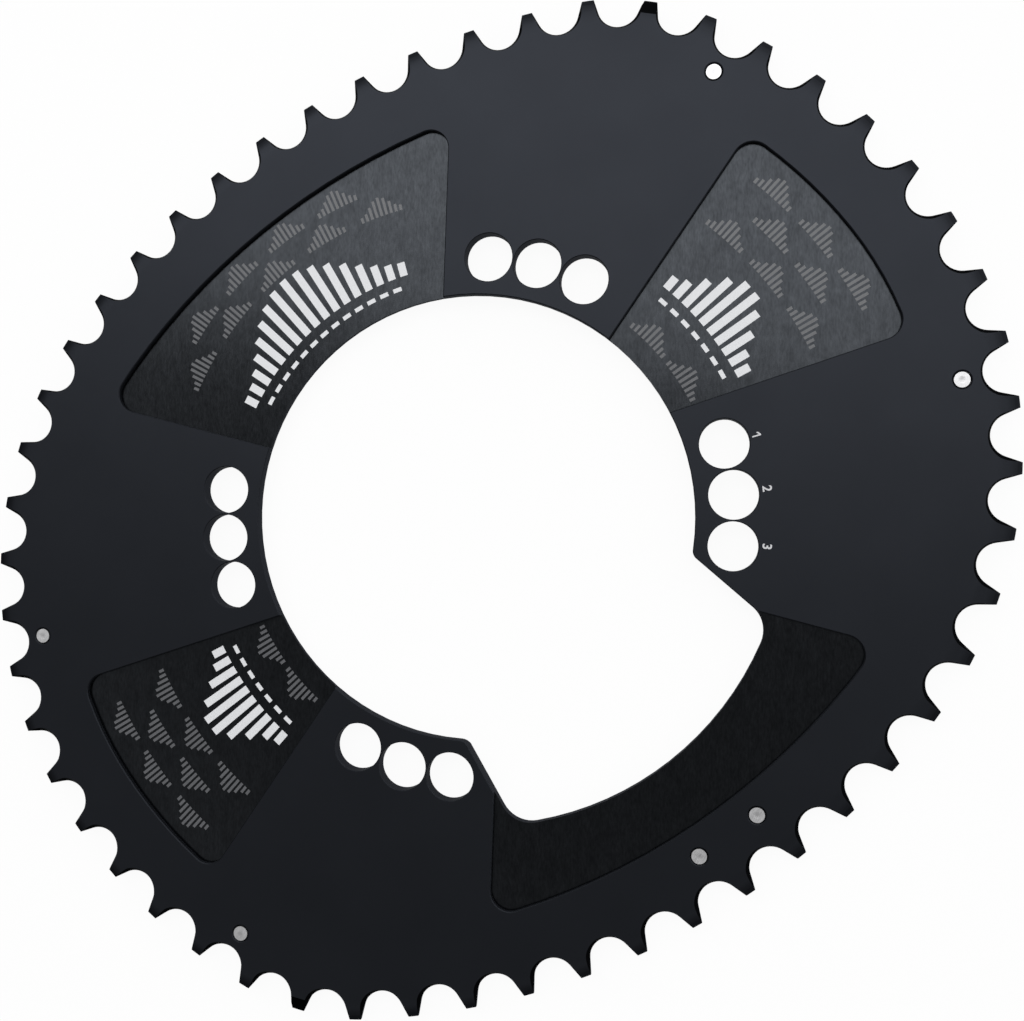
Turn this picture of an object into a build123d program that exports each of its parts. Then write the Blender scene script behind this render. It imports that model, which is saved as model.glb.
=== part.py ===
from build123d import *
import os
from math import asin, atan2, cos, degrees, hypot, pi, radians, sin, sqrt, tan

# Oval bicycle chainring for a four-arm spider, with three bolt holes to each arm
# and shift pins riveted through the rim. Millimetres and degrees.
# The ring lies on its back: +Z is its outer face, Z = 0 is the face that seats on the spider,
# the Z axis is the crank's axis, and +X is the middle line between two arms.

# Chain and teeth
TEETH = 52
CHAIN_PITCH = 12.7
ROLLER_RADIUS = 3.87
SEAT_CLEARANCE = 0.53
FLANK_LEAN = 22.2
TOOTH_HEIGHT = 6.0
FIRST_GAP_ANGLE = 1.3

# Oval: each half turn is a long arc about the axis, a corner arc, a flat arc and a lead arc
LONG_FROM = -3.2
LONG_TO = 25.1
CORNER_DROP = 66.0
FLAT_RISE = 53.0
LEAD_DROP = 21.4

# Thicknesses and edges
PLATE_THICKNESS = 3.2
TOOTH_THICKNESS = 2.1
TOOTH_EDGE_BREAK = 0.4
TRAILING_EDGE_BREAK = 0.8
FRONT_BREAK_DEPTH = 0.9
TIP_BEVEL_LENGTH = 2.9
TIP_BEVEL_DEPTH = 1.0
TIP_ROUND_LENGTH = 2.0
BACK_TIP_BEVEL_DEPTH = 0.45
ROOT_CLEARANCE = 1.0
ROOT_BEVEL = 0.8

# Shift teeth, cut lower at the outer face than the rest and counted from the first gap
SHIFT_TEETH = (4, 30)
SHIFT_BEVEL_LENGTH = 3.4
SHIFT_BEVEL_DEPTH = 1.5

# Spider interface
BOLT_CIRCLE_RADIUS = 55.0
ARM_ANGLE = 35.0
BOLT_HOLE_RADIUS = 5.1
BOLT_HOLE_WEB = 0.34
BOLT_HOLE_EDGE_BREAK = 0.15
BORE_WALL = 2.8
BORE_LEAD_IN = 1.1
FRONT_EDGE_BREAK = 0.2

# Crank-side cut-out below the bore
RELIEF_DEPTH = 18.3
RELIEF_FLARE = 9.5
RELIEF_HOLE_WALL = 1.6
RELIEF_CORNER = 6.5
RELIEF_BORE_CORNER = 2.0

# Pockets milled in the outer face between the arms
POCKET_DEPTH = 1.1
RIM_WIDTH = 11.4
POCKET_CORNER = 4.0
LEADING_MARGIN = 6.3
LEADING_LEAN = 19.2
TRAILING_MARGIN = 4.5
TRAILING_LEAN = 13.3

# Shift pins
PIN_RADIUS = 1.55
PIN_HOLE_CLEARANCE = 0.03
PIN_SINK = 0.1
PIN_COUNTERSINK = 0.4
PIN_HEAD_OVERHANG = 0.65
PIN_HEAD_HEIGHT = 1.2
PIN_HEAD_BEVEL = 0.4
PIN_DIMPLE_RADIUS = 0.75
PIN_DIMPLE_DEPTH = 0.04
RIM_PIN_ANGLES = (21.0, -24.5)
RIM_PIN_MARGIN = 0.1
FOOT_PIN_ANGLE = 4.95

# Sizes that follow from those above
SEAT_RADIUS = ROLLER_RADIUS + SEAT_CLEARANCE
TIP_BEVEL_SLOPE = atan2(TIP_BEVEL_DEPTH, TIP_BEVEL_LENGTH)
TIP_ROUND_RADIUS = TIP_ROUND_LENGTH / tan(TIP_BEVEL_SLOPE / 2)
BORE_RADIUS = BOLT_CIRCLE_RADIUS - BOLT_HOLE_RADIUS - BORE_WALL
RELIEF_RADIUS = BORE_RADIUS + RELIEF_DEPTH
HOLE_SPACING = 2 * BOLT_HOLE_RADIUS + BOLT_HOLE_WEB
HOLE_STEP = 2 * degrees(asin(HOLE_SPACING / (2 * BOLT_CIRCLE_RADIUS)))
ARMS = (ARM_ANGLE, 180 - ARM_ANGLE, 180 + ARM_ANGLE, 360 - ARM_ANGLE)
PIN_HOLE_RADIUS = PIN_RADIUS + PIN_HOLE_CLEARANCE
PIN_HEAD_RADIUS = PIN_RADIUS + PIN_HEAD_OVERHANG
RIM_PIN_INSET = ROOT_CLEARANCE + ROOT_BEVEL + PIN_HEAD_RADIUS + RIM_PIN_MARGIN
FOOT_PIN_INSET = RIM_WIDTH / 2

# Directions, and the distance under which two points count as one
UP = (0, 0, 1)
ON_BASE = (Align.CENTER, Align.CENTER, Align.MIN)
TOUCH = 0.01


def unit(angle):
    """Direction in the ring's plane."""
    return Vector(cos(radians(angle)), sin(radians(angle)))


def direction_angle(vector):
    return degrees(atan2(vector.Y, vector.X))


def oval_half():
    """Arcs of half the oval: centre, radius over that of the long arc, first angle and sweep."""
    corner = unit(LONG_TO) * CORNER_DROP
    lead = unit(LONG_FROM + 180) * LEAD_DROP
    # The flat arc touches both neighbours, so its centre is where two circles meet.
    from_corner = FLAT_RISE + CORNER_DROP
    from_lead = FLAT_RISE + LEAD_DROP
    base = lead - corner
    along = (base.length ** 2 + from_corner ** 2 - from_lead ** 2) / (2 * base.length)
    across = sqrt(from_corner ** 2 - along ** 2)
    heading = base.normalized()
    flat = corner + heading * along + Vector(-heading.Y, heading.X) * across
    flat_from = direction_angle(corner - flat)
    flat_to = direction_angle(lead - flat)
    return [
        (Vector(0, 0), 0, LONG_FROM, LONG_TO - LONG_FROM),
        (corner, -CORNER_DROP, LONG_TO, flat_from - LONG_TO),
        (flat, FLAT_RISE, flat_from, flat_to - flat_from),
        (lead, -LEAD_DROP, flat_to, LONG_FROM + 180 - flat_to),
    ]


# The chain's length round the ring sets the size of the oval.
EXTRA_LENGTH = 2 * sum(extra * radians(sweep) for _, extra, _, sweep in oval_half())
LONG_RADIUS = (TEETH * CHAIN_PITCH - EXTRA_LENGTH) / (2 * pi)


def oval_arcs(offset):
    """Arcs of the pitch curve moved outwards: centre, radius, first angle and sweep."""
    arcs = []
    for turn in (0, 180):
        for centre, extra, start, sweep in oval_half():
            arcs.append((centre.rotate(Axis.Z, turn), LONG_RADIUS + extra + offset, start + turn, sweep))
    return arcs


def oval_face(gullet_offset, height):
    """Face inside the oval that lies outside the gullet bottoms by the given offset."""
    edges = []
    for centre, radius, start, sweep in oval_arcs(gullet_offset - ROLLER_RADIUS):
        edges.append(CenterArc((centre.X, centre.Y, height), radius, start, sweep))
    return Face(Wire(edges))


def oval_slab(low_offset, low, high_offset, high):
    """Oval plate whose edge slopes from one offset to the other."""
    return loft([oval_face(low_offset, low), oval_face(high_offset, high)], ruled=True)


def along_pitch_curve(distance):
    """Point and outward direction at a distance from the start of the long arc."""
    for centre, radius, start, sweep in oval_arcs(0):
        length = radius * radians(sweep)
        if distance <= length:
            break
        distance -= length
    outward = unit(start + degrees(distance / radius))
    return centre + outward * radius, outward


def gullet_point(angle, inset):
    """Point on the ray at this angle, inside the gullet bottoms by the inset."""
    ray = unit(angle)
    for centre, radius, start, sweep in oval_arcs(-ROLLER_RADIUS - inset):
        towards = centre.dot(ray)
        square = radius ** 2 - centre.dot(centre) + towards ** 2
        if square < 0:
            # The ray passes this arc's circle by.
            continue
        point = ray * (towards + sqrt(square))
        if (direction_angle(point - centre) - start) % 360 <= sweep:
            return point
    raise ValueError("no point of the oval at this angle")


def gap_profile(spread):
    """Outline of a tooth gap grown by the spread: its seat is about the origin and it opens to +X."""
    radius = SEAT_RADIUS + spread
    past_tip = 2 * TOOTH_HEIGHT
    # Each flank runs on from the seat and leans away from the gap's middle line.
    touch = unit(90 + FLANK_LEAN) * radius
    end = touch + unit(FLANK_LEAN) * past_tip
    edges = [
        Line((end.X, -end.Y), (touch.X, -touch.Y)),
        ThreePointArc((touch.X, -touch.Y), (-radius, 0), (touch.X, touch.Y)),
        Line((touch.X, touch.Y), (end.X, end.Y)),
        Line((end.X, end.Y), (end.X, -end.Y)),
    ]
    return Face(Wire(edges))


def gap_cutter():
    """Solid that cuts one tooth gap and breaks its edges on both faces."""
    low = PLATE_THICKNESS - TOOTH_THICKNESS
    high = PLATE_THICKNESS
    narrow = gap_profile(0)
    back = gap_profile(TOOTH_EDGE_BREAK)
    # At the outer face the profile is moved sideways, so that the break is wider on the trailing flank.
    sideways = (TRAILING_EDGE_BREAK - TOOTH_EDGE_BREAK) / (2 * cos(radians(FLANK_LEAN)))
    front = Pos(0, -sideways) * gap_profile((TRAILING_EDGE_BREAK + TOOTH_EDGE_BREAK) / 2)
    cutter = extrude(Pos(0, 0, low) * narrow, TOOTH_THICKNESS, dir=UP)
    cutter += loft([Pos(0, 0, low) * back, Pos(0, 0, low + TOOTH_EDGE_BREAK) * narrow], ruled=True)
    cutter += loft([Pos(0, 0, high - FRONT_BREAK_DEPTH) * narrow, Pos(0, 0, high) * front], ruled=True)
    return cutter


def at_pitch(number):
    """Point and outward direction at a number of chain pitches from the first gap."""
    first = LONG_RADIUS * radians(FIRST_GAP_ANGLE - LONG_FROM)
    return along_pitch_curve((first + number * CHAIN_PITCH) % (TEETH * CHAIN_PITCH))


def tooth_gaps():
    """One cutter for each gap, a chain pitch apart along the pitch curve."""
    cutter = gap_cutter()
    cutters = []
    for number in range(TEETH):
        roller, outward = at_pitch(number)
        seat = roller + outward * SEAT_CLEARANCE
        cutters.append(Pos(seat) * Rot(0, 0, direction_angle(outward)) * cutter)
    return cutters


def shift_bevels():
    """One cutter for each shift tooth, which slopes its outer face from the bevel's start to the tip."""
    tip = TOOTH_HEIGHT - ROLLER_RADIUS
    start = tip - SHIFT_BEVEL_LENGTH
    slope = Polyline(
        (start, PLATE_THICKNESS),
        (start + 2 * SHIFT_BEVEL_LENGTH, PLATE_THICKNESS - 2 * SHIFT_BEVEL_DEPTH),
        (start + 2 * SHIFT_BEVEL_LENGTH, PLATE_THICKNESS),
        close=True,
    )
    wedge = extrude(Plane.XZ * make_face(slope), CHAIN_PITCH / 2, both=True)
    cutters = []
    for number in SHIFT_TEETH:
        middle, outward = at_pitch(number + 1 / 2)
        cutters.append(Pos(middle) * Rot(0, 0, direction_angle(outward)) * wedge)
    return cutters


def blank():
    """Plate before its teeth are cut: bevelled where the tips will be, and thinner at the teeth."""
    low = PLATE_THICKNESS - TOOTH_THICKNESS
    high = PLATE_THICKNESS
    bevel = TOOTH_HEIGHT - TIP_BEVEL_LENGTH
    tip = TOOTH_HEIGHT
    plate = oval_slab(-ROOT_CLEARANCE - ROOT_BEVEL, 0, -ROOT_CLEARANCE, low)
    plate += oval_slab(bevel, low, tip, low + BACK_TIP_BEVEL_DEPTH)
    plate += oval_slab(tip, low + BACK_TIP_BEVEL_DEPTH, tip, high - TIP_BEVEL_DEPTH)
    plate += oval_slab(tip, high - TIP_BEVEL_DEPTH, bevel, high)
    bevel_line = plate.faces().sort_by(Axis.Z)[-1].outer_wire()
    return fillet(bevel_line.edges(), TIP_ROUND_RADIUS)


def opening():
    """Bore and crank-side cut-out as one face."""
    hole = unit(-ARM_ANGLE - HOLE_STEP) * BOLT_CIRCLE_RADIUS
    down = Vector(sin(radians(RELIEF_FLARE)), -cos(radians(RELIEF_FLARE)))
    inward = Vector(down.Y, -down.X)
    beside_hole = hole + inward * (BOLT_HOLE_RADIUS + RELIEF_HOLE_WALL)
    top = beside_hole - down * (beside_hole.Y / down.Y)
    foot = beside_hole - down * ((beside_hole.Y + RELIEF_RADIUS) / down.Y)
    sides = Polygon((top.X, top.Y), (foot.X, foot.Y), (-foot.X, foot.Y), (-top.X, top.Y), align=None)
    relief = sides & Circle(RELIEF_RADIUS)
    relief = fillet(relief.vertices().group_by(Axis.Y)[0], RELIEF_CORNER)
    return relief + Circle(BORE_RADIUS)


def pocket_side(arm, side):
    """A point on the pocket's side at the bolt circle, and the way it runs outwards.

    Side 1 is the arm's trailing side, anticlockwise of its holes, and -1 is its leading side.
    """
    margin = TRAILING_MARGIN if side > 0 else LEADING_MARGIN
    lean = TRAILING_LEAN if side > 0 else LEADING_LEAN
    turn = HOLE_STEP + degrees((BOLT_HOLE_RADIUS + margin) / BOLT_CIRCLE_RADIUS)
    return unit(arm + side * turn) * BOLT_CIRCLE_RADIUS, unit(arm + side * lean)


def pocket(arm, next_arm):
    """Outline of the pocket between two arms, open to the bore."""
    start, out_start = pocket_side(arm, 1)
    end, out_end = pocket_side(next_arm, -1)
    # All its corners are rounded, so the inner two lie well inside the bore.
    into_bore = BOLT_CIRCLE_RADIUS - BORE_RADIUS + BORE_LEAD_IN + 2 * POCKET_CORNER
    past_rim = LONG_RADIUS
    wedge_points = [
        start - out_start * into_bore,
        start + out_start * past_rim,
        unit((arm + next_arm) / 2) * 2 * past_rim,
        end + out_end * past_rim,
        end - out_end * into_bore,
    ]
    wedge = Polygon(*[(point.X, point.Y) for point in wedge_points], align=None)
    area = wedge & oval_face(-RIM_WIDTH, 0)
    # A cutter of the corner's radius reaches all that its middle can, with the wall a radius away.
    cutter_path = offset(area, -POCKET_CORNER, kind=Kind.INTERSECTION)
    return offset(cutter_path, POCKET_CORNER, kind=Kind.ARC)


def bolt_hole_places():
    return [unit(arm + step * HOLE_STEP) * BOLT_CIRCLE_RADIUS for arm in ARMS for step in (-1, 0, 1)]


def pin_places():
    """Four pins just inside the teeth, and two at the foot, midway across the rim below the cut-out."""
    rim = [gullet_point(angle + turn, RIM_PIN_INSET) for turn in (0, 180) for angle in RIM_PIN_ANGLES]
    foot = [gullet_point(270 + side * FOOT_PIN_ANGLE, FOOT_PIN_INSET) for side in (-1, 1)]
    return rim + foot


def edged_hole(radius, edge_break):
    """Cutter for a hole through the plate, widened at the outer face."""
    top = PLATE_THICKNESS
    wide = radius + edge_break
    section = Polyline((0, 0), (radius, 0), (radius, top - edge_break), (wide, top), (0, top), close=True)
    return revolve(Plane.XZ * make_face(section), Axis.Z)


def relief_corners(ring):
    """The two upright edges where the cut-out meets the bore."""
    on_bore = []
    for edge in ring.edges().filter_by(Axis.Z):
        if abs(hypot(edge.center().X, edge.center().Y) - BORE_RADIUS) < TOUCH:
            on_bore.append(edge)
    return sorted(on_bore, key=lambda edge: edge.center().Y)[:2]


def chainring():
    """The ring itself: one plate, milled all over."""
    ring = blank() - extrude(opening(), PLATE_THICKNESS, dir=UP)
    ring = fillet(relief_corners(ring), RELIEF_BORE_CORNER)
    floor = Pos(0, 0, PLATE_THICKNESS - POCKET_DEPTH)
    following_arms = ARMS[1:] + (ARMS[0] + 360,)
    ring -= [extrude(floor * pocket(*arms), POCKET_DEPTH, dir=UP) for arms in zip(ARMS, following_arms)]
    # The pockets are open to the bore, so one edge runs all round the inside of the outer face.
    inner_edge = ring.faces().sort_by(Axis.Z)[-1].inner_wires()[0]
    ring = chamfer(inner_edge.edges(), FRONT_EDGE_BREAK)
    ring -= Cone(BORE_RADIUS + BORE_LEAD_IN, BORE_RADIUS, BORE_LEAD_IN, align=ON_BASE)
    cuts = [Pos(place) * edged_hole(BOLT_HOLE_RADIUS, BOLT_HOLE_EDGE_BREAK) for place in bolt_hole_places()]
    cuts += [Pos(place) * edged_hole(PIN_HOLE_RADIUS, PIN_COUNTERSINK) for place in pin_places()]
    return ring - (cuts + tooth_gaps() + shift_bevels())


def shift_pin():
    """Riveted steel pin: a head that stands out at the back, and a dimpled end at the outer face."""
    top = PLATE_THICKNESS - PIN_SINK
    section = Polyline(
        (0, -PIN_HEAD_HEIGHT),
        (PIN_HEAD_RADIUS - PIN_HEAD_BEVEL, -PIN_HEAD_HEIGHT),
        (PIN_HEAD_RADIUS, PIN_HEAD_BEVEL - PIN_HEAD_HEIGHT),
        (PIN_HEAD_RADIUS, 0),
        (PIN_RADIUS, 0),
        (PIN_RADIUS, top),
        (PIN_DIMPLE_RADIUS, top),
        (0, top - PIN_DIMPLE_DEPTH),
        close=True,
    )
    return revolve(Plane.XZ * make_face(section), Axis.Z)


def main():
    os.makedirs("parts", exist_ok=True)
    export_step(chainring(), "parts/chainring.step")
    for number, place in enumerate(pin_places(), start=1):
        export_step(Pos(place) * shift_pin(), f"parts/shift_pin_{number}.step")


main()
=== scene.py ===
"""Finishes an oval bicycle chainring: a black anodised plate, ground steel shift pins and printed pockets.

Metres and radians. The ring lies on its back on a white table: +Z points out of its outer face, and the
Z axis is the crank's.
"""
from math import cos, pi, radians, sin

import bmesh
import bpy
from bpy.props import FloatProperty, FloatVectorProperty, IntProperty, PointerProperty
from mathutils import Matrix, Vector


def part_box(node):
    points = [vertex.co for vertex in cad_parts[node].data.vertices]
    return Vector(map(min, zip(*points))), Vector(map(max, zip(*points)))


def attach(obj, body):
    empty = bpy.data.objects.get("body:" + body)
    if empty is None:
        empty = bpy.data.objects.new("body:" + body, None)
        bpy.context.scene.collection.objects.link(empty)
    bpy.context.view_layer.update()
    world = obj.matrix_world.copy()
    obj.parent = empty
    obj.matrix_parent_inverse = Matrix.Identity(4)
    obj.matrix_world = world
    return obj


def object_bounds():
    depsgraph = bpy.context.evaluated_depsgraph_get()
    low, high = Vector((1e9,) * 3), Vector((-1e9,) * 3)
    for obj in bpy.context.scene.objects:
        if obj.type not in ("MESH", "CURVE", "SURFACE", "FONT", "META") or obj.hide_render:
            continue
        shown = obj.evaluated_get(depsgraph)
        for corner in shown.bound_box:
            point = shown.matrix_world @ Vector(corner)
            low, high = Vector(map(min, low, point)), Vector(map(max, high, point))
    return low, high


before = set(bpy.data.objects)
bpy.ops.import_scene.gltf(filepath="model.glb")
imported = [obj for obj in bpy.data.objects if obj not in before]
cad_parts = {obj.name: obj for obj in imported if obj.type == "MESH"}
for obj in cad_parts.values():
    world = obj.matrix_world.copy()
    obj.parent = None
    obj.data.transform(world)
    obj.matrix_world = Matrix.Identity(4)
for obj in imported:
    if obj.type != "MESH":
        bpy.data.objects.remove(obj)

bl_info = {
    "name": "Oval chainring",
    "version": (1, 0, 0),
    "blender": (4, 5, 0),
    "location": "3D View > Sidebar > Chainring",
    "description": "Finishes an oval bicycle chainring and sets it on a white table",
    "category": "Object",
}

MILLIMETRE = 0.001

# What model.glb gives
CAD_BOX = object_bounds()
FACE_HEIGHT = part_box("chainring")[1].z
TABLE_HEIGHT = CAD_BOX[0].z
PINS = sorted(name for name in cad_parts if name.startswith("shift_pin"))
BODY = "root"

# The pockets' floors lie this far below the outer face, give or take the margin.
POCKET_DEPTH = 1.1 * MILLIMETRE
POCKET_FLOOR = FACE_HEIGHT - POCKET_DEPTH
FLOOR_MARGIN = 0.1 * MILLIMETRE

# The chamfers round the outer face go down this far. The pins' countersinks go deeper.
CHAMFER_DEPTH = 0.22 * MILLIMETRE

# A slope is the upright share of a surface's normal: 0 on a wall and 1 on a level face. Each pair goes from
# where a finish starts to where it is full.
# Below the face's slopes the near-black edge colour, a painted shade, darkens the teeth's tip bevels.
FACE_SLOPES = (0.917, 0.985)
WALL_SLOPES = (0.4, 0.2)
CHAMFER_SLOPE = cos(radians(45))
CHAMFER_MARGIN = 0.02

# Share of the walls' colour on the chamfers. The rest is the edges' near-black colour, a painted shade.
CHAMFER_WALL_SHARE = 0.75

# The dyed layer takes light in at a slant, so the walls stay black beside a white table.
SLANT_TINT = (0.5, 0.5, 0.5)

# How even and how dull each ink is
BOLD_INK = {"mottle": 0.06, "roughness": 0.55}
FAINT_INK = {"mottle": 0.2, "roughness": 0.3}

# Print of each pocket: its middle round the ring, its bold bars, the dashes at their feet and its faint rows.
# A foot is a row's radius, and a spread is the angle that its bars or groups take up.
SIDE_BOLD = {
    "foot": 62.5 * MILLIMETRE,
    "bars": 10,
    "spread": radians(21),
    "shortest": 3 * MILLIMETRE,
    "longest": 12.5 * MILLIMETRE,
}
SIDE_DASHES = {"foot": 59.6 * MILLIMETRE, "bars": 7, "spread": radians(18.5)}
SIDE_FAINT = [
    {"foot": 51.8 * MILLIMETRE, "groups": 2, "groups_spread": radians(12)},
    {"foot": 77.6 * MILLIMETRE, "groups": 3, "groups_spread": radians(18)},
    {"foot": 83.9 * MILLIMETRE, "groups": 2, "groups_spread": radians(8.6)},
    {"foot": 90 * MILLIMETRE, "groups": 3, "groups_spread": radians(16)},
]
PRINTED_POCKETS = {
    1: {
        "middle": radians(89.5),
        "bold": {
            "foot": 53.8 * MILLIMETRE,
            "bars": 17,
            "spread": radians(47),
            "shortest": 3 * MILLIMETRE,
            "longest": 13 * MILLIMETRE,
        },
        "dashes": {"foot": 50.9 * MILLIMETRE, "bars": 13, "spread": radians(42)},
        "faint": [
            {"foot": 67.8 * MILLIMETRE, "groups": 5, "groups_spread": radians(45)},
            {"foot": 73.2 * MILLIMETRE, "groups": 4, "groups_spread": radians(31)},
        ],
    },
    2: {"middle": radians(-1.5), "bold": SIDE_BOLD, "dashes": SIDE_DASHES, "faint": SIDE_FAINT},
    3: {"middle": radians(178.5), "bold": SIDE_BOLD, "dashes": SIDE_DASHES, "faint": SIDE_FAINT},
}

# The timing numbers' places round the ring
NUMBER_ANGLES = {1: radians(-24), 2: radians(-34.4), 3: radians(-45.3)}

# Outline of the figure 1, as shares of its height: its stem, and the flag at its top
ONE = [(0.09, -0.5), (0.25, -0.5), (0.25, 0.5), (0.09, 0.5), (-0.22, 0.24), (-0.22, 0.04), (0.09, 0.27)]

# Share of the font's size that its figures are tall, how much bolder they are made, the steps in each of
# their curves, and how near two corners are that become one
CAPITAL_SHARE = 0.7
FIGURE_BOLDNESS = 0.05 * MILLIMETRE
FIGURE_STEPS = 6
MERGE_DISTANCE = 0.0001 * MILLIMETRE

# The upright share of a direction in the room, where the ceiling is white and where it is dimmest, and where
# the walls start and where they are full
CEILING_WHITE, CEILING_DIM = 0.34, 0.95
WALL_START, WALL_FULL = 0.66, 0.42

# The share of a direction that goes towards the bright wall, at that wall's edge and where it is full
WINDOW_EDGE, WINDOW_FULL = 0.15, 0.65

WHITE = (1, 1, 1)
TABLE_ROUGHNESS = 0.9

# In millimetres, as a camera has it
SENSOR_WIDTH = 36

# Nothing nearer to the camera than this shows.
NEAREST = 0.01

# Numbers of a Mix node's two inputs and its result
MIX_SOCKETS = {"FLOAT": (2, 3, 0), "RGBA": (6, 7, 2)}


# Settings

def colour_setting(name, description, default):
    """Colour, with each of its parts from 0 to 1."""
    return FloatVectorProperty(
        name=name, description=description, default=default, subtype="COLOR", size=3, min=0, max=1
    )


def share_setting(name, description, default):
    """Share from 0 to 1."""
    return FloatProperty(name=name, description=description, default=default, subtype="FACTOR", min=0, max=1)


def length_setting(name, description, default):
    """Length in metres."""
    return FloatProperty(name=name, description=description, default=default, subtype="DISTANCE", min=0)


def angle_setting(name, description, default):
    """Angle in radians."""
    return FloatProperty(name=name, description=description, default=default, subtype="ANGLE")


def level_setting(name, description, default):
    """Brightness of something that gives light."""
    return FloatProperty(name=name, description=f"{description}, where 1 is white", default=default, min=0)


def place_setting(name, description, default):
    """Place in metres."""
    return FloatVectorProperty(
        name=name, description=description, default=default, subtype="TRANSLATION", size=3
    )


class PlateFinish(bpy.types.PropertyGroup):
    """Black anodising on the plate."""

    face_colour: colour_setting(
        "Face colour", "Colour of the blasted outer face and back", (0.0268, 0.0294, 0.0354)
    )
    floor_colour: colour_setting(
        "Pocket colour", "Colour of the brushed pocket floors", (0.0345, 0.0375, 0.042)
    )
    # Painted shade: edges and bevels are near black in place of the shade and dark reflections on them.
    edge_colour: colour_setting(
        "Edge colour", "Colour of the broken edges and steep bevels", (0.0023, 0.0025, 0.0029)
    )
    wall_colour: colour_setting(
        "Wall colour", "Colour of the milled upright walls", (0.0242, 0.0265, 0.032)
    )
    face_roughness: share_setting("Face roughness", "Roughness of the blasted face", 0.45)
    floor_roughness: share_setting("Pocket roughness", "Roughness of the brushed pocket floors", 0.22)
    edge_roughness: share_setting("Edge roughness", "Roughness of the milled walls, teeth and edges", 0.6)
    brush_angle: angle_setting(
        "Brushing direction", "Direction of the brushed lines, from +X towards +Y", radians(50)
    )


class PinFinish(bpy.types.PropertyGroup):
    """Steel of the shift pins."""

    colour: colour_setting("Steel colour", "Colour of the pins' ground steel", (0.77, 0.77, 0.78))
    roughness: share_setting("Steel roughness", "Roughness of the pins' ground ends", 0.45)
    grind_angle: angle_setting(
        "Grinding direction", "Direction of the ground lines, from +X towards +Y", radians(20)
    )
    dish_radius: length_setting(
        "Dish radius",
        "Radius of the dull dish that riveting leaves in the middle of each end",
        0.75 * MILLIMETRE,
    )
    # Painted shade: the dish is darkened in place of the shade in its hollow.
    dish_tone: share_setting("Dish tone", "Brightness of the dish as a share of the ring round it", 0.8)


class PrintSizes(bpy.types.PropertyGroup):
    """Print on the pocket floors and beside the timing holes."""

    white: colour_setting("White ink", "Colour of the bold print", (0.74, 0.75, 0.77))
    grey: colour_setting("Grey ink", "Colour of the faint print", (0.105, 0.108, 0.115))
    number_colour: colour_setting("Number ink", "Colour of the timing numbers", (0.6, 0.6, 0.62))
    ink_thickness: length_setting(
        "Ink thickness", "How far the ink stands out of the plate", 0.012 * MILLIMETRE
    )
    bar_width: length_setting("Bar width", "Width of each bold bar", 1.7 * MILLIMETRE)
    line_width: length_setting(
        "Line width", "Width of the line of dashes at the foot of the bars", 0.9 * MILLIMETRE
    )
    dash_length: length_setting(
        "Dash length", "Length of each dash at the foot of the bars", 1.9 * MILLIMETRE
    )
    faint_length: length_setting(
        "Faint group length", "Length of each faint group along its row", 8.8 * MILLIMETRE
    )
    faint_bars: IntProperty(
        name="Faint bars", description="Number of bars in each faint group", default=9, min=2
    )
    faint_width: length_setting("Faint bar width", "Width of each faint bar", 0.62 * MILLIMETRE)
    faint_shortest: length_setting(
        "Shortest faint bar", "Length of the bars at the ends of a faint group", 1.2 * MILLIMETRE
    )
    faint_longest: length_setting(
        "Longest faint bar", "Length of the bar in the middle of a faint group", 4.2 * MILLIMETRE
    )
    number_height: length_setting("Number height", "Height of the timing numbers", 1.8 * MILLIMETRE)
    number_radius: length_setting(
        "Number radius", "Distance of the timing numbers from the crank's axis", 61.6 * MILLIMETRE
    )


class StageSettings(bpy.types.PropertyGroup):
    """Table, light and camera."""

    table_side: length_setting("Table side", "Length of each side of the table", 6)
    table_colour: colour_setting("Table colour", "Colour of the table", (0.88, 0.88, 0.88))
    table_whiteness: share_setting(
        "Table whiteness",
        "How much of the table's look is plain white, the rest being its own light and shadow",
        0.94,
    )
    key_level: level_setting("Soft box brightness", "Brightness of the soft box", 2.2)
    key_distance: length_setting("Soft box distance", "Distance of the soft box from the ring", 0.9)
    key_tilt: angle_setting("Soft box tilt", "Angle of the soft box from straight overhead", radians(26.6))
    key_turn: angle_setting(
        "Soft box direction", "Direction of the soft box from the ring, from +X towards +Y", radians(62.1)
    )
    key_roll: angle_setting("Soft box roll", "Turn of the soft box about its own axis", radians(-24.6))
    key_size: FloatVectorProperty(
        name="Soft box size",
        description="Length and width of the soft box",
        default=(1.31, 0.5),
        subtype="XYZ_LENGTH",
        size=2,
    )
    ceiling_level: level_setting("Ceiling brightness", "Brightness of the room straight overhead", 0.175)
    wall_level: level_setting("Wall brightness", "Brightness of the room's dim walls", 0.3)
    window_level: level_setting("Window brightness", "Brightness of the one bright wall", 2.4)
    window_turn: angle_setting(
        "Window direction", "Direction of the bright wall from the ring, from +X towards +Y", radians(11)
    )
    camera_place: place_setting("Camera place", "Where the camera stands", (0.03841, -0.03394, 0.23523))
    camera_aim: place_setting(
        "Camera aim", "Point on the outer face at the middle of the picture", (0.00795, -0.00485, FACE_HEIGHT)
    )
    camera_turn: angle_setting(
        "Camera turn",
        "Direction on the ring that points up in the picture, from +X towards +Y",
        radians(50.33),
    )
    lens: FloatProperty(
        name="Lens",
        description="Focal length in millimetres on a sensor 36 mm wide",
        default=39.56,
        min=1,
    )


class ChainringSettings(bpy.types.PropertyGroup):
    """All the settings of the chainring."""

    plate: PointerProperty(type=PlateFinish, name="Plate", description="Finish of the plate")
    pins: PointerProperty(type=PinFinish, name="Pins", description="Finish of the shift pins")
    ink: PointerProperty(type=PrintSizes, name="Print", description="Print on the plate")
    stage: PointerProperty(type=StageSettings, name="Stage", description="Table, light and camera")


# Node helpers

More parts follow.
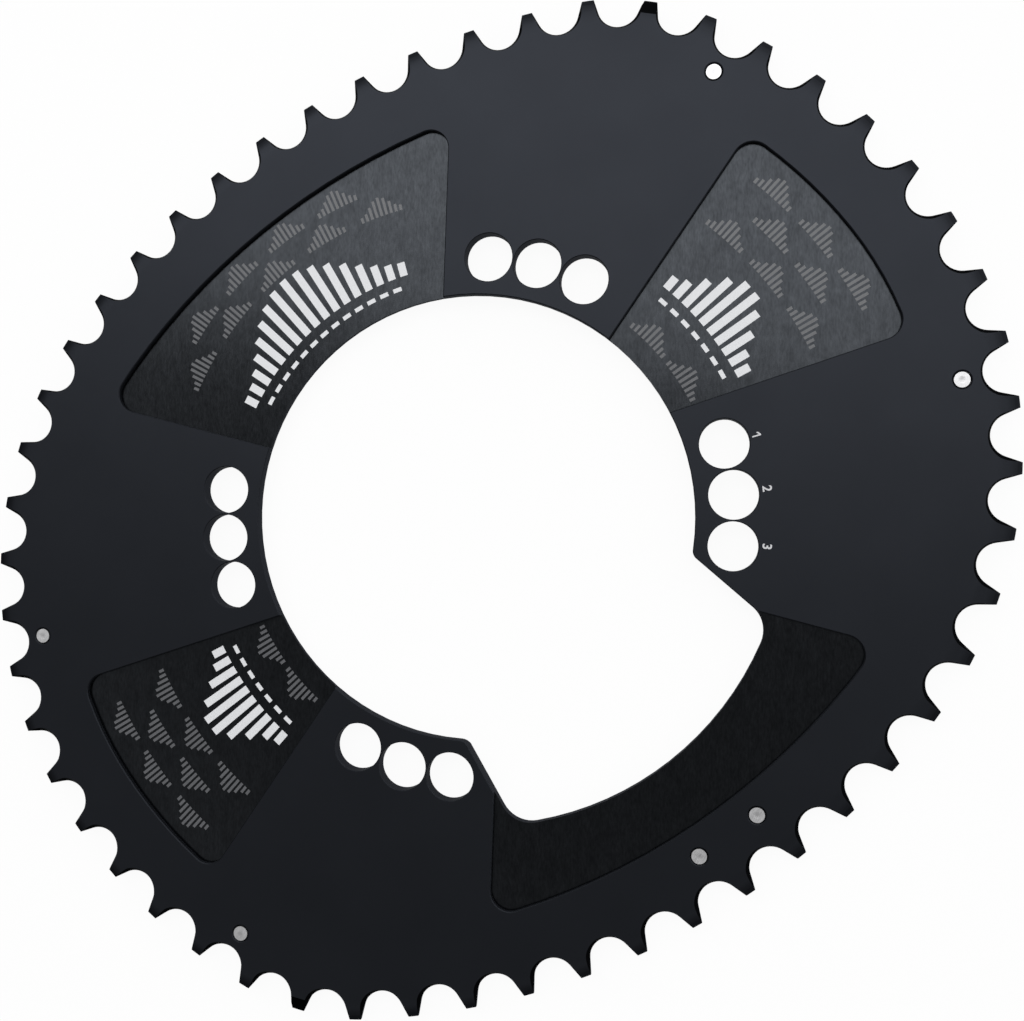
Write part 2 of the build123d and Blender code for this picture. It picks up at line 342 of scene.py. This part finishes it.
def add_node(tree, kind, inputs=None, **options):
    """Adds a node, sets its options, and links or sets its inputs by name or number."""
    node = tree.nodes.new(kind)
    for option, value in options.items():
        setattr(node, option, value)
    for name, value in (inputs or {}).items():
        if isinstance(value, bpy.types.NodeSocket):
            tree.links.new(value, node.inputs[name])
        else:
            node.inputs[name].default_value = value
    return node


def maths(tree, operation, *values):
    """Result of a Math node."""
    return add_node(tree, "ShaderNodeMath", dict(enumerate(values)), operation=operation).outputs[0]


def vector_maths(tree, operation, first, second):
    """Outputs of a Vector Math node."""
    return add_node(tree, "ShaderNodeVectorMath", {0: first, 1: second}, operation=operation).outputs


def blend(tree, factor, first, second, kind="FLOAT"):
    """Mix of two values or colours by a factor."""
    at_first, at_second, at_result = MIX_SOCKETS[kind]
    inputs = {"Factor": factor, at_first: first, at_second: second}
    return add_node(tree, "ShaderNodeMix", inputs, data_type=kind).outputs[at_result]


def tinted(tree, colour, factor):
    """A colour times a factor."""
    at_first, at_second, at_result = MIX_SOCKETS["RGBA"]
    inputs = {"Factor": 1, at_first: opaque(colour), at_second: factor}
    node = add_node(tree, "ShaderNodeMix", inputs, data_type="RGBA", blend_type="MULTIPLY")
    return node.outputs[at_result]


def opaque(colour):
    """A colour with full alpha."""
    return (*colour, 1)


def ramp(tree, value, none, full):
    """Mask that goes from 0 to 1 as the value goes from none to full."""
    inputs = {"Value": value, "From Min": none, "From Max": full}
    return add_node(tree, "ShaderNodeMapRange", inputs).outputs[0]


def around(tree, value, swing):
    """A value about one half, turned into a factor about 1 that goes up and down by the swing."""
    return maths(tree, "MULTIPLY_ADD", value, 2 * swing, 1 - swing)


def upright_part(tree, vector):
    """Z of a vector."""
    return add_node(tree, "ShaderNodeSeparateXYZ", {0: vector}).outputs["Z"]


def new_group(name, kind, inputs, outputs):
    """Empty node group with named sockets, and its input and output nodes."""
    tree = bpy.data.node_groups.new(name, kind)
    for socket, socket_type in inputs:
        tree.interface.new_socket(socket, in_out="INPUT", socket_type=socket_type)
    for socket, socket_type in outputs:
        tree.interface.new_socket(socket, in_out="OUTPUT", socket_type=socket_type)
    return tree, tree.nodes.new("NodeGroupInput"), tree.nodes.new("NodeGroupOutput")


def shared(name, make):
    """The node group of this name, made on first use."""
    return bpy.data.node_groups.get(name) or make(name)


# Shader effects that several finishes share

def make_fine_grain(name):
    """Fine grain, and broad soft clouds, as values about one half."""
    tree, given, result = new_group(
        name,
        "ShaderNodeTree",
        [
            ("Vector", "NodeSocketVector"),
            ("Grain Scale", "NodeSocketFloat"),
            ("Cloud Scale", "NodeSocketFloat"),
        ],
        [("Grain", "NodeSocketFloat"), ("Cloud", "NodeSocketFloat")],
    )
    for effect, detail in (("Grain", 3), ("Cloud", 4)):
        scale = given.outputs[f"{effect} Scale"]
        inputs = {"Vector": given.outputs["Vector"], "Scale": scale, "Detail": detail}
        noise = add_node(tree, "ShaderNodeTexNoise", inputs)
        tree.links.new(noise.outputs["Fac"], result.inputs[effect])
    return tree


def fine_grain(tree, place, grain_scale, cloud_scale):
    """Outputs of the fine grain, with its scales per metre."""
    inputs = {"Vector": place, "Grain Scale": grain_scale, "Cloud Scale": cloud_scale}
    return add_node(tree, "ShaderNodeGroup", inputs, node_tree=shared("fine_grain", make_fine_grain)).outputs


def make_brushed_lines(name):
    """Lines drawn out along one direction in the ring's plane, as a value about one half."""
    tree, given, result = new_group(
        name,
        "ShaderNodeTree",
        [
            ("Vector", "NodeSocketVector"),
            ("Angle", "NodeSocketFloat"),
            ("Lines", "NodeSocketFloat"),
            ("Drawn Out", "NodeSocketFloat"),
        ],
        [("Lines", "NodeSocketFloat")],
    )
    value = given.outputs
    inputs = {"Vector": value["Vector"], "Angle": maths(tree, "MULTIPLY", value["Angle"], -1)}
    turned = add_node(tree, "ShaderNodeVectorRotate", inputs, rotation_type="Z_AXIS")
    along = maths(tree, "DIVIDE", value["Lines"], value["Drawn Out"])
    stretch = add_node(tree, "ShaderNodeCombineXYZ", {"X": along, "Y": value["Lines"], "Z": along})
    drawn = vector_maths(tree, "MULTIPLY", turned.outputs[0], stretch.outputs[0])
    noise = add_node(tree, "ShaderNodeTexNoise", {"Vector": drawn[0], "Scale": 1, "Detail": 3})
    tree.links.new(noise.outputs["Fac"], result.inputs["Lines"])
    return tree


def brushed_lines(tree, place, angle, lines, drawn_out):
    """Brushed lines, so many to the metre, each drawn out to so many times its width."""
    inputs = {"Vector": place, "Angle": angle, "Lines": lines, "Drawn Out": drawn_out}
    group = shared("brushed_lines", make_brushed_lines)
    return add_node(tree, "ShaderNodeGroup", inputs, node_tree=group).outputs["Lines"]


# Finishes

def new_material(name):
    """Material with an empty Principled shader."""
    material = bpy.data.materials.new(name)
    material.use_nodes = True
    tree = material.node_tree
    return material, tree, tree.nodes["Principled BSDF"]


def link_finish(tree, shader, colour, roughness, relief, strength, depth):
    """Gives a shader its colour, its roughness and a bump from the relief."""
    bump = add_node(tree, "ShaderNodeBump", {"Height": relief, "Strength": strength, "Distance": depth})
    for socket, value in (("Base Color", colour), ("Roughness", roughness), ("Normal", bump.outputs[0])):
        tree.links.new(value, shader.inputs[socket])


def plate_finish(settings):
    """Black anodising: blasted faces, brushed pocket floors, milled walls and teeth; painted shade on bevels.
    """
    material, tree, shader = new_material("black_anodised")
    surface = add_node(tree, "ShaderNodeTexCoord").outputs
    place = surface["Object"]
    height = upright_part(tree, place)
    slope = maths(tree, "ABSOLUTE", upright_part(tree, surface["Normal"]))
    level = ramp(tree, slope, *FACE_SLOPES)
    upright = ramp(tree, slope, *WALL_SLOPES)
    near_face = maths(tree, "GREATER_THAN", height, FACE_HEIGHT - CHAMFER_DEPTH)
    chamfer = maths(tree, "MULTIPLY", near_face, maths(tree, "COMPARE", slope, CHAMFER_SLOPE, CHAMFER_MARGIN))
    wall = maths(tree, "MULTIPLY_ADD", chamfer, CHAMFER_WALL_SHARE, upright)
    at_floor = maths(tree, "COMPARE", height, POCKET_FLOOR, FLOOR_MARGIN)
    on_floor = maths(tree, "MULTIPLY", level, at_floor)
    on_face = maths(tree, "SUBTRACT", level, on_floor)

    grain = fine_grain(tree, place, grain_scale=7000, cloud_scale=60)
    lines = brushed_lines(tree, place, settings.brush_angle, lines=2600, drawn_out=3)
    wide_lines = brushed_lines(tree, place, settings.brush_angle, lines=650, drawn_out=2.2)
    cloud = around(tree, grain["Cloud"], swing=0.1)
    streak = maths(tree, "MULTIPLY", around(tree, lines, swing=0.45), around(tree, wide_lines, swing=0.35))

    # The edge colour is painted shade on bevels, tooth tips and a quarter of each chamfer.
    colour = blend(tree, wall, opaque(settings.edge_colour), opaque(settings.wall_colour), "RGBA")
    colour = blend(tree, on_face, colour, tinted(tree, settings.face_colour, cloud), "RGBA")
    colour = blend(tree, on_floor, colour, tinted(tree, settings.floor_colour, streak), "RGBA")
    roughness = blend(tree, on_face, settings.edge_roughness, settings.face_roughness)
    floor_roughness = maths(tree, "MULTIPLY", around(tree, lines, swing=0.12), settings.floor_roughness)
    roughness = blend(tree, on_floor, roughness, floor_roughness)
    relief = blend(tree, on_floor, grain["Grain"], lines)
    link_finish(tree, shader, colour, roughness, relief, strength=0.16, depth=0.02 * MILLIMETRE)
    shader.inputs["Metallic"].default_value = 1
    shader.inputs["Specular Tint"].default_value = opaque(SLANT_TINT)
    return material


def steel_finish(pin, settings):
    """Bright steel, ground one way and a little dull, with a shallow dish on its axis darkened by painted
    shade.
    """
    material, tree, shader = new_material(f"ground_steel_{pin}")
    place = add_node(tree, "ShaderNodeTexCoord").outputs["Object"]
    low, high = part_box(pin)
    axis = ((low.x + high.x) / 2, (low.y + high.y) / 2, 0)
    level_place = vector_maths(tree, "MULTIPLY", place, (1, 1, 0))[0]
    off_axis = vector_maths(tree, "DISTANCE", level_place, axis)["Value"]
    dish = ramp(tree, off_axis, settings.dish_radius, settings.dish_radius / 3)
    lines = brushed_lines(tree, place, settings.grind_angle, lines=9000, drawn_out=14)
    cloud = fine_grain(tree, place, grain_scale=5000, cloud_scale=500)["Cloud"]
    tone = maths(tree, "MULTIPLY", around(tree, lines, swing=0.25), around(tree, cloud, swing=0.15))
    # Painted shade darkens the dish.
    tone = maths(tree, "MULTIPLY", tone, blend(tree, dish, 1, settings.dish_tone))
    roughness = maths(tree, "MULTIPLY", around(tree, lines, swing=0.3), settings.roughness)
    # The dish goes three times as deep as the lines.
    relief = maths(tree, "MULTIPLY_ADD", dish, -3, lines)
    colour = tinted(tree, settings.colour, tone)
    link_finish(tree, shader, colour, roughness, relief, strength=0.3, depth=0.01 * MILLIMETRE)
    shader.inputs["Metallic"].default_value = 1
    return material


def ink_finish(name, colour, mottle, roughness):
    """Screen ink, thin enough to show a slight mottle."""
    material, tree, shader = new_material(name)
    place = add_node(tree, "ShaderNodeTexCoord").outputs["Object"]
    grain = fine_grain(tree, place, grain_scale=4500, cloud_scale=350)
    fine, broad = around(tree, grain["Grain"], mottle), around(tree, grain["Cloud"], mottle / 2)
    colour = tinted(tree, colour, maths(tree, "MULTIPLY", fine, broad))
    roughness = maths(tree, "MULTIPLY", around(tree, grain["Grain"], swing=0.2), roughness)
    link_finish(tree, shader, colour, roughness, grain["Grain"], strength=0.2, depth=0.01 * MILLIMETRE)
    return material


# Objects and places

def add_object(name, data):
    """New object in the scene."""
    item = bpy.data.objects.new(name, data)
    bpy.context.scene.collection.objects.link(item)
    return item


def evaluated_mesh(item):
    """Plain mesh of an object with its modifiers or its curve worked out."""
    return bpy.data.meshes.new_from_object(item.evaluated_get(bpy.context.evaluated_depsgraph_get()))


def level_direction(angle):
    """Level direction at an angle from +X towards +Y."""
    return Vector((cos(angle), sin(angle), 0))


def looking(place, aim, up):
    """Matrix of a lamp or camera that stands at a place and looks at the aim, with up upwards in its view."""
    back = (place - aim).normalized()
    right = up.cross(back).normalized()
    matrix = Matrix((right, back.cross(right), back)).transposed().to_4x4()
    matrix.translation = place
    return matrix


# Print

def make_bar_groups(name):
    """Groups of radial bars along an arc, rooted on it.

    The bars swell to the middle of each group and fade again.
    """
    tree, given, result = new_group(
        name,
        "GeometryNodeTree",
        [
            ("Groups", "NodeSocketInt"),
            ("Groups Spread", "NodeSocketFloat"),
            ("Bars", "NodeSocketInt"),
            ("Bars Spread", "NodeSocketFloat"),
            ("Middle", "NodeSocketFloat"),
            ("Foot Radius", "NodeSocketFloat"),
            ("Shortest", "NodeSocketFloat"),
            ("Longest", "NodeSocketFloat"),
            ("Width", "NodeSocketFloat"),
            ("Bottom", "NodeSocketFloat"),
            ("Top", "NodeSocketFloat"),
            ("Ink", "NodeSocketMaterial"),
        ],
        [("Geometry", "NodeSocketGeometry")],
    )
    value = given.outputs

    def calc(operation, *values):
        return maths(tree, operation, *values)

    def spread_out(number, count, spread, middle):
        """Share of the way along the spread, and the angle there, of one of so many things."""
        share = calc("DIVIDE", number, calc("SUBTRACT", count, 1))
        return share, calc("MULTIPLY_ADD", calc("SUBTRACT", share, 0.5), spread, middle)

    index = add_node(tree, "GeometryNodeInputIndex").outputs[0]
    group = calc("FLOOR", calc("DIVIDE", calc("ADD", index, 0.5), value["Bars"]))
    bar = calc("SUBTRACT", index, calc("MULTIPLY", group, value["Bars"]))
    _, group_angle = spread_out(group, value["Groups"], value["Groups Spread"], value["Middle"])
    bar_share, angle = spread_out(bar, value["Bars"], value["Bars Spread"], group_angle)
    swell = calc("POWER", calc("SINE", calc("MULTIPLY", bar_share, pi)), 2)
    reach = calc("SUBTRACT", value["Longest"], value["Shortest"])
    length = calc("MULTIPLY_ADD", reach, swell, value["Shortest"])
    radius = calc("MULTIPLY_ADD", length, 0.5, value["Foot Radius"])
    position = add_node(
        tree,
        "ShaderNodeCombineXYZ",
        {
            "X": calc("MULTIPLY", radius, calc("COSINE", angle)),
            "Y": calc("MULTIPLY", radius, calc("SINE", angle)),
            "Z": calc("MULTIPLY", calc("ADD", value["Bottom"], value["Top"]), 0.5),
        },
    )
    count = calc("MULTIPLY", value["Groups"], value["Bars"])
    points = add_node(tree, "GeometryNodePoints", {"Count": count, "Position": position.outputs[0]})
    block = add_node(tree, "GeometryNodeMeshCube", {"Size": (1, 1, 1)})
    thickness = calc("SUBTRACT", value["Top"], value["Bottom"])
    size = add_node(tree, "ShaderNodeCombineXYZ", {"X": length, "Y": value["Width"], "Z": thickness})
    turn = add_node(tree, "ShaderNodeCombineXYZ", {"Z": angle})
    bars = add_node(
        tree,
        "GeometryNodeInstanceOnPoints",
        {
            "Points": points.outputs[0],
            "Instance": block.outputs["Mesh"],
            "Rotation": turn.outputs[0],
            "Scale": size.outputs[0],
        },
    )
    real = add_node(tree, "GeometryNodeRealizeInstances", {0: bars.outputs[0]})
    inked = add_node(tree, "GeometryNodeSetMaterial", {"Geometry": real.outputs[0], "Material": value["Ink"]})
    tree.links.new(inked.outputs[0], result.inputs[0])
    return tree


def run_tree(name, tree, values):
    """New piece: the plain mesh that a geometry tree gives with these inputs."""
    piece = add_object(name, bpy.data.meshes.new(name))
    modifier = piece.modifiers.new(name, "NODES")
    modifier.node_group = tree
    for socket in tree.interface.items_tree:
        if socket.in_out == "INPUT":
            modifier[socket.identifier] = values[socket.name]
    mesh = evaluated_mesh(piece)
    piece.modifiers.remove(modifier)
    piece.data = mesh
    mesh.name = name
    if not mesh.polygons:
        raise RuntimeError(f"{name} came out empty")
    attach(piece, BODY)


def print_bars(
    name, ink, material, middle, foot, bars, spread, shortest, longest, width, groups=1, groups_spread=0.0
):
    """Prints a row of bars, or of groups of bars, on a pocket floor."""
    run_tree(
        name,
        shared("bar_groups", make_bar_groups),
        {
            "Groups": groups,
            "Groups Spread": groups_spread,
            "Bars": bars,
            "Bars Spread": spread,
            "Middle": middle,
            "Foot Radius": foot,
            "Shortest": shortest,
            "Longest": longest,
            "Width": width,
            "Bottom": POCKET_FLOOR - ink.ink_thickness,
            "Top": POCKET_FLOOR + ink.ink_thickness,
            "Ink": material,
        },
    )


def one_mesh(ink):
    """Figure 1 with a flag, flat on the XY plane, with its middle at the origin."""
    height, thickness = ink.number_height, ink.ink_thickness
    solid = bmesh.new()
    bottom = solid.faces.new([solid.verts.new((x * height, y * height, -thickness)) for x, y in ONE])
    grown = bmesh.ops.extrude_face_region(solid, geom=[bottom])
    top = [item for item in grown["geom"] if isinstance(item, bmesh.types.BMVert)]
    bmesh.ops.translate(solid, verts=top, vec=(0, 0, 2 * thickness))
    bmesh.ops.recalc_face_normals(solid, faces=solid.faces)
    mesh = bpy.data.meshes.new("one")
    solid.to_mesh(mesh)
    solid.free()
    return mesh


def figure_mesh(number, ink):
    """Figure of the font, a little bolder, flat on the XY plane, with its middle at the origin."""
    text = bpy.data.curves.new(f"number_{number}", "FONT")
    text.body = str(number)
    text.align_x = "CENTER"
    text.align_y = "CENTER"
    text.size = ink.number_height / CAPITAL_SHARE
    text.extrude = ink.ink_thickness
    text.offset = FIGURE_BOLDNESS
    text.resolution_u = FIGURE_STEPS
    form = add_object(f"number_form_{number}", text)
    mesh = evaluated_mesh(form)
    bpy.data.objects.remove(form)
    solid = bmesh.new()
    solid.from_mesh(mesh)
    bmesh.ops.remove_doubles(solid, verts=solid.verts, dist=MERGE_DISTANCE)
    solid.to_mesh(mesh)
    solid.free()
    return mesh


def print_number(number, angle, ink, material):
    """One number whose top points away from the crank's axis."""
    mesh = one_mesh(ink) if number == 1 else figure_mesh(number, ink)
    place = Matrix.Rotation(angle - radians(90), 4, "Z")
    place.translation = level_direction(angle) * ink.number_radius + Vector((0, 0, FACE_HEIGHT))
    mesh.transform(place)
    mesh.name = f"number_{number}"
    mesh.materials.clear()
    mesh.materials.append(material)
    piece = add_object(f"number_{number}", mesh)
    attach(piece, BODY)


# Stage

def lay_table(stage):
    """White table whose look is mostly plain white, so that only a soft shadow shows."""
    half = stage.table_side / 2
    corners = [(-half, -half), (half, -half), (half, half), (-half, half)]
    mesh = bpy.data.meshes.new("table")
    mesh.from_pydata([(x, y, TABLE_HEIGHT) for x, y in corners], [], [(0, 1, 2, 3)])
    table = add_object("table", mesh)
    material, tree, shader = new_material("white_table")
    shader.inputs["Base Color"].default_value = opaque(stage.table_colour)
    shader.inputs["Roughness"].default_value = TABLE_ROUGHNESS
    white = add_node(tree, "ShaderNodeEmission", {"Color": opaque(WHITE), "Strength": 1})
    ray = add_node(tree, "ShaderNodeLightPath").outputs
    seen = maths(tree, "MAXIMUM", ray["Is Camera Ray"], ray["Is Glossy Ray"])
    seen = maths(tree, "MAXIMUM", seen, ray["Is Transmission Ray"])
    share = maths(tree, "MULTIPLY", seen, stage.table_whiteness)
    look = add_node(tree, "ShaderNodeMixShader", {0: share, 1: shader.outputs[0], 2: white.outputs[0]})
    tree.links.new(look.outputs[0], tree.nodes["Material Output"].inputs["Surface"])
    mesh.materials.append(material)


def hang_soft_box(stage):
    """One wide soft box overhead, towards the top of the picture."""
    lamp = bpy.data.lights.new("soft_box", "AREA")
    lamp.shape = "RECTANGLE"
    lamp.size, lamp.size_y = stage.key_size
    # An area lamp's brightness is its power over its area and pi.
    lamp.energy = stage.key_level * lamp.size * lamp.size_y * pi
    out = level_direction(stage.key_turn)
    place = (out * sin(stage.key_tilt) + Vector((0, 0, cos(stage.key_tilt)))) * stage.key_distance
    soft_box = add_object("soft_box", lamp)
    soft_box.matrix_world = looking(place, Vector(), out) @ Matrix.Rotation(stage.key_roll, 4, "Z")


def light_room(stage):
    """A dim ceiling that pales downwards, and dim walls but for one bright one."""
    world = bpy.data.worlds.new("room")
    world.use_nodes = True
    tree = world.node_tree
    direction = add_node(tree, "ShaderNodeTexCoord").outputs["Generated"]
    height = upright_part(tree, direction)
    ceiling = blend(tree, ramp(tree, height, CEILING_WHITE, CEILING_DIM), 1, stage.ceiling_level)
    towards = vector_maths(tree, "DOT_PRODUCT", direction, level_direction(stage.window_turn))["Value"]
    wall = blend(tree, ramp(tree, towards, WINDOW_EDGE, WINDOW_FULL), stage.wall_level, stage.window_level)
    level = blend(tree, ramp(tree, height, WALL_START, WALL_FULL), ceiling, wall)
    background = tree.nodes["Background"]
    background.inputs["Color"].default_value = opaque(WHITE)
    tree.links.new(level, background.inputs["Strength"])
    bpy.context.scene.world = world


def place_camera(stage):
    """Camera above the ring, where the photograph was taken from."""
    lens = bpy.data.cameras.new("camera")
    lens.sensor_width = SENSOR_WIDTH
    lens.lens = stage.lens
    lens.clip_start = NEAREST
    camera = add_object("camera", lens)
    up = level_direction(stage.camera_turn)
    camera.matrix_world = looking(Vector(stage.camera_place), Vector(stage.camera_aim), up)
    scene = bpy.context.scene
    scene.camera = camera
    scene.view_settings.view_transform = "Standard"


# Operators

class FinishPlate(bpy.types.Operator):
    """Give the plate its black anodising"""

    bl_idname = "chainring.finish_plate"
    bl_label = "Plate"

    def execute(self, context):
        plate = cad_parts["chainring"]
        plate.material_slots[0].material = plate_finish(context.scene.chainring.plate)
        return {"FINISHED"}


class FinishPins(bpy.types.Operator):
    """Give the shift pins their ground steel"""

    bl_idname = "chainring.finish_pins"
    bl_label = "Shift pins"

    def execute(self, context):
        for pin in PINS:
            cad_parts[pin].material_slots[0].material = steel_finish(pin, context.scene.chainring.pins)
        return {"FINISHED"}


class PrintBold(bpy.types.Operator):
    """Print the bold white bars, and the dashes at their feet, on the pocket floors"""

    bl_idname = "chainring.print_bold"
    bl_label = "Bold print"

    def execute(self, context):
        ink = context.scene.chainring.ink
        white = ink_finish("white_ink", ink.white, **BOLD_INK)
        for number, pocket in PRINTED_POCKETS.items():
            middle = pocket["middle"]
            print_bars(f"print_bars_{number}", ink, white, middle, width=ink.bar_width, **pocket["bold"])
            print_bars(
                f"print_dashes_{number}",
                ink,
                white,
                middle,
                shortest=ink.line_width,
                longest=ink.line_width,
                width=ink.dash_length,
                **pocket["dashes"],
            )
        return {"FINISHED"}


class PrintFaint(bpy.types.Operator):
    """Print the rows of faint grey bars on the pocket floors"""

    bl_idname = "chainring.print_faint"
    bl_label = "Faint print"

    def execute(self, context):
        ink = context.scene.chainring.ink
        grey = ink_finish("grey_ink", ink.grey, **FAINT_INK)
        for number, pocket in PRINTED_POCKETS.items():
            for row, groups in enumerate(pocket["faint"], start=1):
                print_bars(
                    f"print_faint_{number}_{row}",
                    ink,
                    grey,
                    pocket["middle"],
                    bars=ink.faint_bars,
                    spread=ink.faint_length / groups["foot"],
                    shortest=ink.faint_shortest,
                    longest=ink.faint_longest,
                    width=ink.faint_width,
                    **groups,
                )
        return {"FINISHED"}


class PrintNumbers(bpy.types.Operator):
    """Print the timing numbers outside the three holes of one arm"""

    bl_idname = "chainring.print_numbers"
    bl_label = "Timing numbers"

    def execute(self, context):
        ink = context.scene.chainring.ink
        number_ink = ink_finish("number_ink", ink.number_colour, **BOLD_INK)
        for number, angle in NUMBER_ANGLES.items():
            print_number(number, angle, ink, number_ink)
        return {"FINISHED"}


class SetStage(bpy.types.Operator):
    """Set out the table, the light and the camera"""

    bl_idname = "chainring.set_stage"
    bl_label = "Table, light and camera"

    def execute(self, context):
        stage = context.scene.chainring.stage
        lay_table(stage)
        hang_soft_box(stage)
        light_room(stage)
        place_camera(stage)
        return {"FINISHED"}


STEPS = (FinishPlate, FinishPins, PrintBold, PrintFaint, PrintNumbers, SetStage)


class ChainringPanel(bpy.types.Panel):
    """Lists the steps that finish the chainring"""

    bl_idname = "VIEW3D_PT_chainring"
    bl_label = "Oval chainring"
    bl_space_type = "VIEW_3D"
    bl_region_type = "UI"
    bl_category = "Chainring"

    def draw(self, context):
        for step in STEPS:
            self.layout.operator(step.bl_idname)


CLASSES = (PlateFinish, PinFinish, PrintSizes, StageSettings, ChainringSettings, *STEPS, ChainringPanel)


def register():
    for cls in CLASSES:
        bpy.utils.register_class(cls)
    bpy.types.Scene.chainring = PointerProperty(
        type=ChainringSettings, name="Chainring", description="Settings of the chainring"
    )


def unregister():
    del bpy.types.Scene.chainring
    for cls in reversed(CLASSES):
        bpy.utils.unregister_class(cls)


def main():
    register()
    bpy.ops.chainring.finish_plate()
    bpy.ops.chainring.finish_pins()
    bpy.ops.chainring.print_bold()
    bpy.ops.chainring.print_faint()
    bpy.ops.chainring.print_numbers()
    bpy.ops.chainring.set_stage()


if __name__ == "__main__":
    main()
